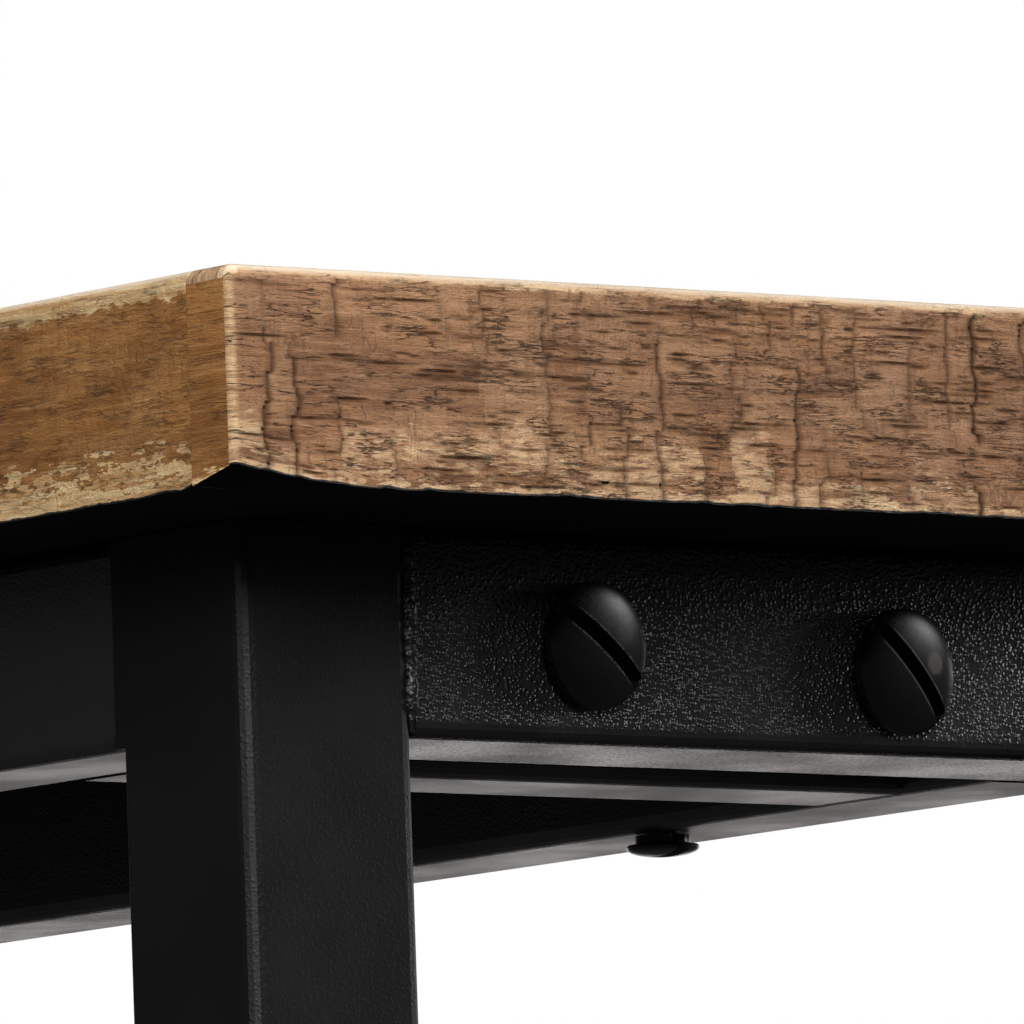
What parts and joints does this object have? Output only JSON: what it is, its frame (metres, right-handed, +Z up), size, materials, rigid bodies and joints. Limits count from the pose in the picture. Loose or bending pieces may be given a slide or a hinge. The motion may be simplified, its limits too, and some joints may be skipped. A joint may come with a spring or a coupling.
{
  "type": "entryway bench",
  "caption": "Low backless entryway bench: thick rough-sawn plank seat on a black square-tube steel frame with slotted dome-head bolts.",
  "frame": {"origin": "middle of the bench on the floor plane", "axes": "+X along the bench's length, +Y towards its back long side, +Z up"},
  "size_m": [1.1, 0.35, 0.45],
  "materials": {
    "plank_wood": "rough-sawn golden-brown boards, thin satin lacquer, worn light edges",
    "end_board_wood": "rough-sawn tan-brown board with dark cracks and saw marks, thin lacquer",
    "frame_coat": "black pebbled powder coat",
    "black_fastener": "black satin lacquer, slot edges rubbed bare",
    "zinc_steel": "zinc plated",
    "black_plastic": "moulded black plastic"
  },
  "bodies": {
    "root": {"board_screw_back_left": "black_fastener", "board_screw_back_middle": "black_fastener", "board_screw_back_right": "black_fastener", "board_screw_front_left": "black_fastener", "board_screw_front_middle": "black_fastener", "board_screw_front_right": "black_fastener", "cross_tube_left": "frame_coat", "cross_tube_right": "frame_coat", "end_board_left": "end_board_wood", "end_board_right": "end_board_wood", "end_rail_left": "frame_coat", "end_rail_right": "frame_coat", "end_stretcher_left": "frame_coat", "end_stretcher_right": "frame_coat", "foot_back_left": "black_plastic", "foot_back_right": "black_plastic", "foot_front_left": "black_plastic", "foot_front_right": "black_plastic", "frame_bolt_left_back": "black_fastener", "frame_bolt_left_front": "black_fastener", "frame_bolt_right_back": "black_fastener", "frame_bolt_right_front": "black_fastener", "frame_nut_left_back": "zinc_steel", "frame_nut_left_front": "zinc_steel", "frame_nut_right_back": "zinc_steel", "frame_nut_right_front": "zinc_steel", "frame_washer_left_back": "zinc_steel", "frame_washer_left_front": "zinc_steel", "frame_washer_right_back": "zinc_steel", "frame_washer_right_front": "zinc_steel", "leg_back_left": "frame_coat", "leg_back_right": "frame_coat", "leg_front_left": "frame_coat", "leg_front_right": "frame_coat", "long_rail_back": "frame_coat", "long_rail_front": "frame_coat", "long_stretcher": "frame_coat", "plank_back_inner": "plank_wood", "plank_back_outer": "plank_wood", "plank_front_inner": "plank_wood", "plank_front_outer": "plank_wood", "plank_middle": "plank_wood", "stretcher_bolt_left": "black_fastener", "stretcher_bolt_right": "black_fastener", "stretcher_plug_left": "black_plastic", "stretcher_plug_right": "black_plastic"}
  },
  "joints": []
}
